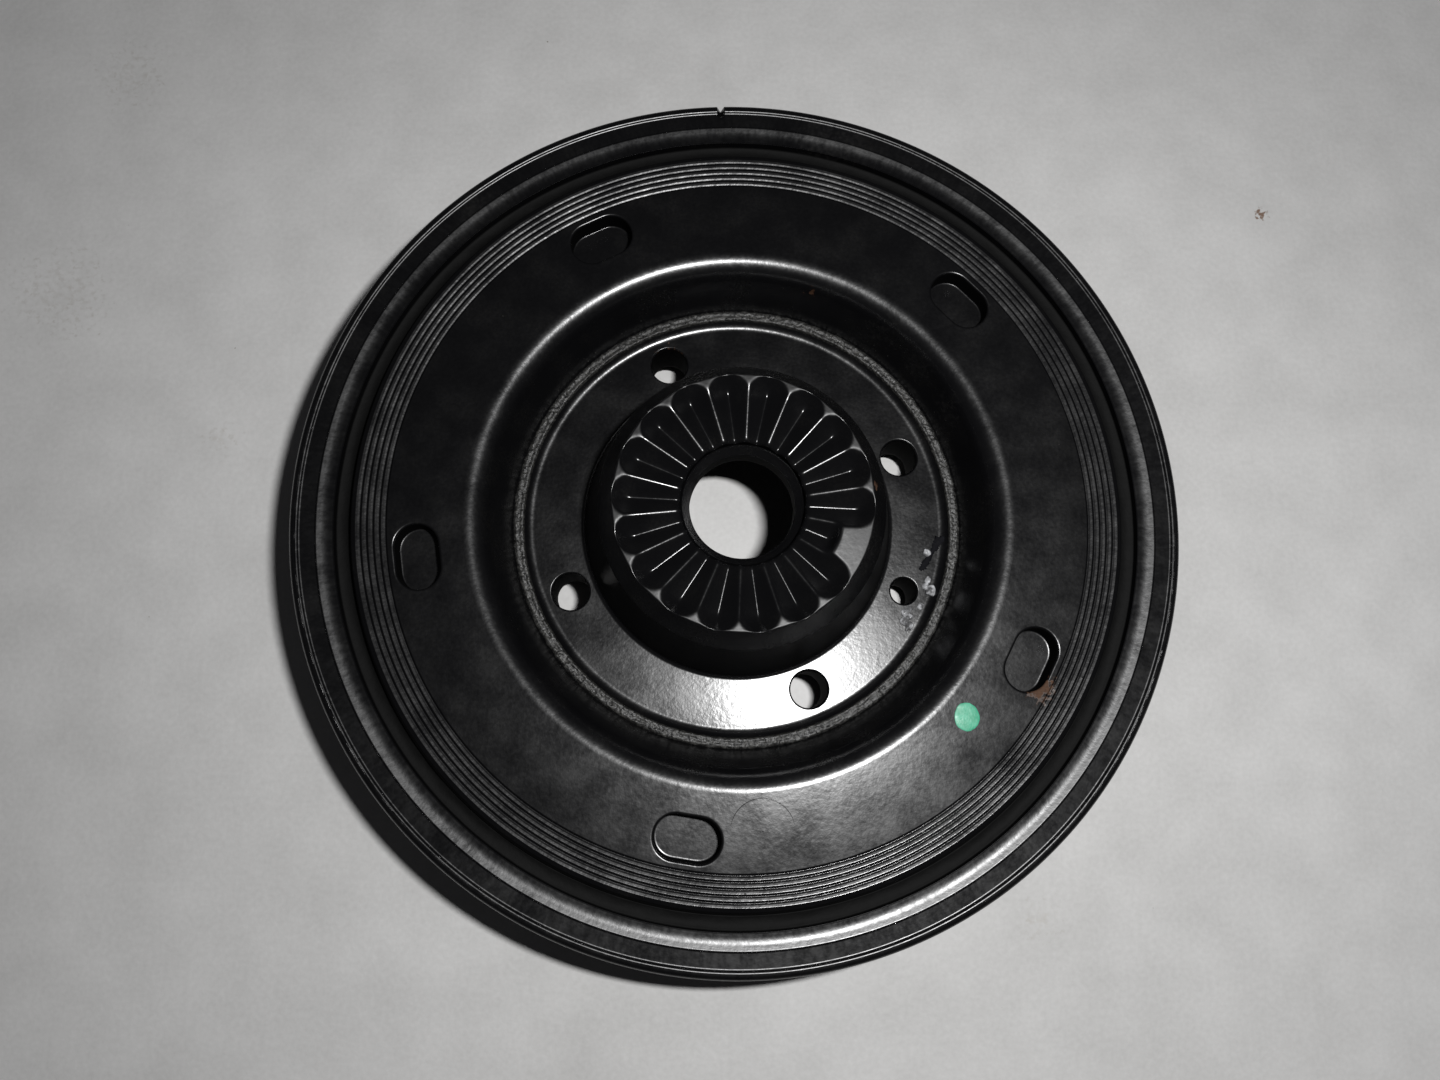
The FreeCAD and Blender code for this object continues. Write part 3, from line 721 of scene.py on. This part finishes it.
class Paint:
    """A material's nodes, with positions in millimetres on the part."""

    def __init__(self, name):
        self.material = bpy.data.materials.new(name)
        self.material.use_nodes = True
        self.nodes = self.material.node_tree.nodes
        self.links = self.material.node_tree.links
        self.shader = self.nodes["Principled BSDF"]
        scale = self.nodes.new("ShaderNodeVectorMath")
        scale.operation = "SCALE"
        scale.inputs["Scale"].default_value = 1000
        self.links.new(self.nodes.new("ShaderNodeTexCoord").outputs["Object"], scale.inputs[0])
        self.place = scale.outputs[0]

    def feed(self, socket, value):
        if isinstance(value, bpy.types.NodeSocket):
            self.links.new(value, socket)
        else:
            socket.default_value = value

    def math(self, operation, first, second=0.0):
        node = self.nodes.new("ShaderNodeMath")
        node.operation = operation
        self.feed(node.inputs[0], first)
        self.feed(node.inputs[1], second)
        return node.outputs[0]

    def noise(self, scale, detail=2.0, place=None):
        node = self.nodes.new("ShaderNodeTexNoise")
        node.inputs["Scale"].default_value = scale
        node.inputs["Detail"].default_value = detail
        self.links.new(place or self.place, node.inputs["Vector"])
        return node.outputs["Fac"]

    def span(self, value, low, high, first=0.0, last=1.0):
        node = self.nodes.new("ShaderNodeMapRange")
        self.feed(node.inputs["Value"], value)
        node.inputs["From Min"].default_value = low
        node.inputs["From Max"].default_value = high
        node.inputs["To Min"].default_value = first
        node.inputs["To Max"].default_value = last
        return node.outputs["Result"]

    def distance(self, point):
        node = self.nodes.new("ShaderNodeVectorMath")
        node.operation = "DISTANCE"
        self.links.new(self.place, node.inputs[0])
        node.inputs[1].default_value = point
        return node.outputs["Value"]

    def near(self, spots, ragged=0.5, core=0.55):
        """A mask around each (r, degrees, z, radius), with a ragged edge around its core."""
        result = None
        wave = self.span(self.noise(1.1, 4.0), 0.3, 0.7, -ragged, ragged)
        for r, degrees, z, radius in spots:
            point = spot(r, math.radians(degrees), z) / MM
            away = self.math("ADD", self.distance(point), self.math("MULTIPLY", wave, radius))
            mask = self.span(away, radius, radius * core)
            result = self.math("MAXIMUM", result, mask) if result else mask
        return result

    def around(self, along, across):
        """Positions that run around the axis, for marks that follow the turning."""
        split = self.nodes.new("ShaderNodeSeparateXYZ")
        self.links.new(self.place, split.inputs[0])
        angle = self.math("ARCTAN2", split.outputs["Y"], split.outputs["X"])
        squares = self.math("ADD", self.math("POWER", split.outputs["X"], 2.0),
                            self.math("POWER", split.outputs["Y"], 2.0))
        join = self.nodes.new("ShaderNodeCombineXYZ")
        self.links.new(self.math("MULTIPLY", angle, along), join.inputs["X"])
        self.links.new(self.math("MULTIPLY", self.math("SQRT", squares), across), join.inputs["Y"])
        self.links.new(self.math("MULTIPLY", split.outputs["Z"], across), join.inputs["Z"])
        return join.outputs[0]

    def radius(self):
        """Distance from the axis."""
        node = self.nodes.new("ShaderNodeVectorMath")
        node.operation = "MULTIPLY"
        self.links.new(self.place, node.inputs[0])
        node.inputs[1].default_value = (1, 1, 0)
        length = self.nodes.new("ShaderNodeVectorMath")
        length.operation = "LENGTH"
        self.links.new(node.outputs[0], length.inputs[0])
        return length.outputs["Value"]

    def mix(self, share, first, second):
        node = self.nodes.new("ShaderNodeMix")
        node.data_type = "RGBA"
        self.feed(node.inputs[0], share)
        for number, colour in ((6, first), (7, second)):
            value = colour if isinstance(colour, bpy.types.NodeSocket) else (*colour, 1)
            self.feed(node.inputs[number], value)
        return node.outputs[2]

    def bump(self, height, depth, below=None):
        node = self.nodes.new("ShaderNodeBump")
        node.inputs["Distance"].default_value = depth * MM
        self.links.new(height, node.inputs["Height"])
        if below:
            self.links.new(below, node.inputs["Normal"])
        return node.outputs["Normal"]

    def use(self, colour, roughness, normal=None):
        self.feed(self.shader.inputs["Base Color"], colour)
        self.feed(self.shader.inputs["Roughness"], roughness)
        if normal:
            self.links.new(normal, self.shader.inputs["Normal"])
        return self.material


def coat(name, roughness, peel, rust=(), scuffs=(), streaks=0.0,
         painted_wall_shade=False, smooth_from=None, dull_to=None):
    """Black dip coat: fine orange peel, patches of dust, and rust and scuffs where given.
    It is smoother outside one radius and dull inside another, where they are given. Where asked,
    steep walls get a darker colour as painted shade, with more roughness and less shine."""
    paint = Paint(name)
    patches = paint.noise(0.16, 3.0)
    grains = paint.span(paint.noise(2.2, 5.0), 0.4, 0.75)
    dust = paint.math("MULTIPLY", paint.span(patches, 0.45, 0.75), grains)
    colour = paint.mix(dust, (0.0032, 0.0032, 0.0036), (0.0075, 0.0072, 0.007))
    rough = paint.math("ADD", paint.span(patches, 0.3, 0.7, roughness - 0.03, roughness + 0.05),
                       paint.span(paint.noise(1.7, 3.0), 0.3, 0.7, -0.02, 0.03))
    if scuffs:
        mask = paint.near(scuffs, 0.8, 0.1)
        marks = paint.math("MULTIPLY", mask, paint.span(paint.noise(1.6, 5.0), 0.4, 0.75))
        colour = paint.mix(marks, colour, (0.011, 0.0107, 0.0105))
        rough = paint.math("ADD", rough, paint.math("MULTIPLY", mask, 0.03))
    if smooth_from:
        gloss = paint.span(paint.radius(), smooth_from, smooth_from + 0.1, 1.0, 0.78)
        rough = paint.math("MULTIPLY", rough, gloss)
    if dull_to:
        level = paint.span(paint.radius(), dull_to, dull_to + 0.15, 0.03, 0.5)
        paint.feed(paint.shader.inputs["Specular IOR Level"], level)
    if streaks:
        lines = paint.noise(1.0, 2.0, paint.around(90.0, 0.5))
        rough = paint.math("ADD", rough, paint.span(lines, 0.35, 0.65, -streaks, streaks))
    if rust:
        mask = paint.near(rust)
        brown = paint.mix(paint.noise(2.5, 4.0), (0.02, 0.01, 0.006), (0.1, 0.045, 0.02))
        colour = paint.mix(mask, colour, brown)
        rough = paint.math("MAXIMUM", rough, paint.math("MULTIPLY", mask, 0.85))
    normal = paint.bump(paint.noise(1.2, 2.0), peel)
    normal = paint.bump(paint.noise(4.5, 2.0), peel * 0.22, normal)
    if painted_wall_shade:
        # Painted shade: steep walls, such as the sides of holes, pockets and the bore, get a darker
        # colour; they are also made rougher and given less shine.
        split = paint.nodes.new("ShaderNodeSeparateXYZ")
        facing = paint.nodes.new("ShaderNodeNewGeometry").outputs["True Normal"]
        paint.links.new(facing, split.inputs[0])
        steep = paint.span(paint.math("ABSOLUTE", split.outputs["Z"]), 0.3, 0.1)
        colour = paint.mix(steep, colour, (0.0012, 0.0012, 0.0013))
        rough = paint.math("MAXIMUM", rough, paint.math("MULTIPLY", steep, 0.75))
        height = paint.nodes.new("ShaderNodeSeparateXYZ")
        paint.links.new(paint.place, height.inputs[0])
        top = paint.span(height.outputs["Z"], BOSS_TOP - 0.15, BOSS_TOP - 0.03, 0.0, 0.2)
        rough = paint.math("ADD", rough, top)
        paint.feed(paint.shader.inputs["Specular IOR Level"], paint.span(steep, 0, 1, 0.5, 0.04))
    return paint.use(colour, rough, normal)


def weld_material():
    paint = Paint("weld")
    grain = paint.noise(2.6, 4.0)
    colour = paint.mix(paint.span(grain, 0.4, 0.7), (0.006, 0.006, 0.006), (0.055, 0.054, 0.05))
    normal = paint.bump(paint.noise(1.8, 3.0), 0.16)
    normal = paint.bump(paint.noise(6.0, 3.0), 0.05, normal)
    return paint.use(colour, paint.span(paint.noise(1.2), 0.3, 0.7, 0.34, 0.5), normal)


def splash_material():
    paint = Paint("weld_splash")
    # The colour runs from grey to pale patches. The pale patches are partly the lumps' own light colour
    # and partly painted highlight for their glints.
    colour = paint.mix(paint.span(paint.noise(0.9, 3.0), 0.4, 0.65), (0.1, 0.1, 0.103), (0.6, 0.61, 0.63))
    normal = paint.bump(paint.noise(1.4, 3.0), 0.22)
    return paint.use(colour, paint.span(paint.noise(1.6), 0.35, 0.65, 0.12, 0.28), normal)


def rubber_material():
    paint = Paint("rubber")
    colour = paint.mix(paint.noise(0.8, 4.0), (0.0015, 0.0015, 0.0015), (0.004, 0.004, 0.004))
    paint.shader.inputs["Specular IOR Level"].default_value = 0.12
    return paint.use(colour, 0.7, paint.bump(paint.noise(1.5, 3.0), 0.05))


# Near black: the painted shade of the crack on the flange, laid on as a thin strip.
def crack_shade_material():
    paint = Paint("painted_crack_shade")
    colour = paint.mix(paint.noise(2.0, 3.0), (0.001, 0.001, 0.002), (0.004, 0.004, 0.006))
    paint.shader.inputs["Specular IOR Level"].default_value = 0.1
    return paint.use(colour, 0.7, paint.bump(paint.noise(2.2, 3.0), 0.1))


def paint_material():
    paint = Paint("paint_dab")
    tone = paint.span(paint.noise(0.9, 4.0), 0.35, 0.7)
    colour = paint.mix(tone, (0.035, 0.30, 0.17), (0.07, 0.40, 0.25))
    rough = paint.span(paint.noise(1.5), 0.3, 0.7, 0.38, 0.5)
    return paint.use(colour, rough, paint.bump(paint.noise(1.5, 3.0), 0.05))


def floor_material():
    """A painted board: faint smears and grain, small stains, chips and dust, and painted light that makes
    it lighter away from the lamp.
    """
    paint = Paint("floor")
    wide = paint.noise(0.012, 3.0)
    smear = paint.noise(0.09, 5.0)
    smears = paint.span(smear, 0.3, 0.7, -0.03, 0.03)
    tone = paint.math("ADD", paint.span(wide, 0.3, 0.7, -0.03, 0.03), smears)
    tone = paint.math("ADD", tone, paint.span(paint.noise(1.1, 4.0), 0.3, 0.7, -0.025, 0.025))
    # Painted light: the board's colour gets lighter away from a spot near the one under the lamp, evening
    # out the lamp's fall-off.
    far = paint.span(paint.distance((20.0, -25.0, 0.0)), 60.0, 210.0, 0.0, 0.17)
    tone = paint.math("ADD", tone, far)
    light = paint.mix(paint.span(tone, -0.1, 0.25), (0.49, 0.485, 0.475), (0.84, 0.835, 0.83))
    stains = [(152, 141.8, 0, 5), (137.5, 159.4, 0, 7), (98, 168.9, 0, 2.5), (88, -52, 0, 3)]
    blotches = paint.span(paint.noise(0.7, 4.0), 0.45, 0.8, 0.0, 0.4)
    mask = paint.math("MULTIPLY", paint.near(stains, 1.2), blotches)
    light = paint.mix(mask, light, (0.42, 0.38, 0.32))
    chip = paint.near([(127.1, 31.8, 0, 1.1)], 0.9)
    light = paint.mix(chip, light, (0.25, 0.17, 0.13))
    specks = paint.span(paint.noise(0.85, 1.0), 0.17, 0.14)
    light = paint.mix(specks, light, (0.33, 0.31, 0.28))
    chips = paint.span(paint.noise(0.45, 3.0), 0.79, 0.83)
    light = paint.mix(chips, light, (0.8, 0.82, 0.84))
    normal = paint.bump(paint.noise(0.5, 5.0), 0.06)
    return paint.use(light, paint.span(smear, 0.3, 0.7, 0.5, 0.62), normal)


# Camera, light and floor

CAMERA_PLACE = (-0.01064, -0.03778, 0.20322)
CAMERA_RIGHT = (0.9992, -0.0071, 0.0386)
CAMERA_BACK = (-0.0393, -0.1815, 0.9826)
CAMERA_LENS = 27.5
LAMP_PLACE = (0.0322, -0.0185, 0.2415)
LAMP_SIZE = (0.02, 0.009)
LAMP_POWER = 0.57


def set_camera():
    data = bpy.data.cameras.new("camera")
    data.sensor_width = 36
    data.lens = CAMERA_LENS
    data.clip_start = 0.01
    camera = bpy.data.objects.new("camera", data)
    right = Vector(CAMERA_RIGHT).normalized()
    back = Vector(CAMERA_BACK).normalized()
    up = back.cross(right).normalized()
    right = up.cross(back)
    turn = Matrix((right, up, back)).transposed().to_4x4()
    camera.matrix_world = Matrix.Translation(CAMERA_PLACE) @ turn
    bpy.context.scene.collection.objects.link(camera)
    bpy.context.scene.camera = camera


def make_lamp():
    data = bpy.data.lights.new("flash", "AREA")
    data.shape = "ELLIPSE"
    data.size, data.size_y = LAMP_SIZE
    data.energy = LAMP_POWER
    lamp = bpy.data.objects.new("flash", data)
    lamp.location = LAMP_PLACE
    lamp.visible_camera = False
    bpy.context.scene.collection.objects.link(lamp)


def make_world():
    world = bpy.data.worlds.new("world")
    bpy.context.scene.world = world
    world.use_nodes = True
    world.node_tree.nodes["Background"].inputs["Color"].default_value = (0.02, 0.02, 0.021, 1)


def make_floor():
    bpy.ops.mesh.primitive_plane_add(size=4, location=(0, 0, -0.0001))
    floor = bpy.context.object
    floor.name = "floor"
    floor.data.materials.append(floor_material())


set_camera()
make_lamp()
make_world()
hub_coat = coat("hub_coat", 0.22, 0.018, painted_wall_shade=True,
                rust=[(33.5, 111.4, 12.0, 2.6), (21.6, 7.0, 32.6, 0.7)],
                scuffs=[(32, -40, 14.6, 6), (22, -22, 33, 4)])
disc_coat = coat("disc_coat", 0.23, 0.015, painted_wall_shade=True, smooth_from=58.0,
                 rust=[(56.4, -31.2, 25.0, 2.6), (56.0, -27.8, 24.4, 1.2), (43.0, 72.0, 22.0, 1.6)],
                 scuffs=[(41.5, 28, 21, 3), (41.5, 40, 21, 3), (42, 52, 22, 3), (50, -100, 25.5, 6)])
ring_coat = coat("ring_coat", 0.27, 0.015, streaks=0.03, dull_to=66.9,
                 scuffs=[(68.5, 76, 25, 7), (72, 130, 25, 4)])
weld = weld_material()
make_hub(hub_coat)
make_disc(disc_coat)
make_ring(ring_coat)
make_rubber(rubber_material())
make_bead(weld)
make_spatter(weld, splash_material())
make_crack(crack_shade_material())
make_paint(paint_material())
make_ring_mark(disc_coat)
make_floor()
bpy.context.scene.view_settings.view_transform = "Standard"
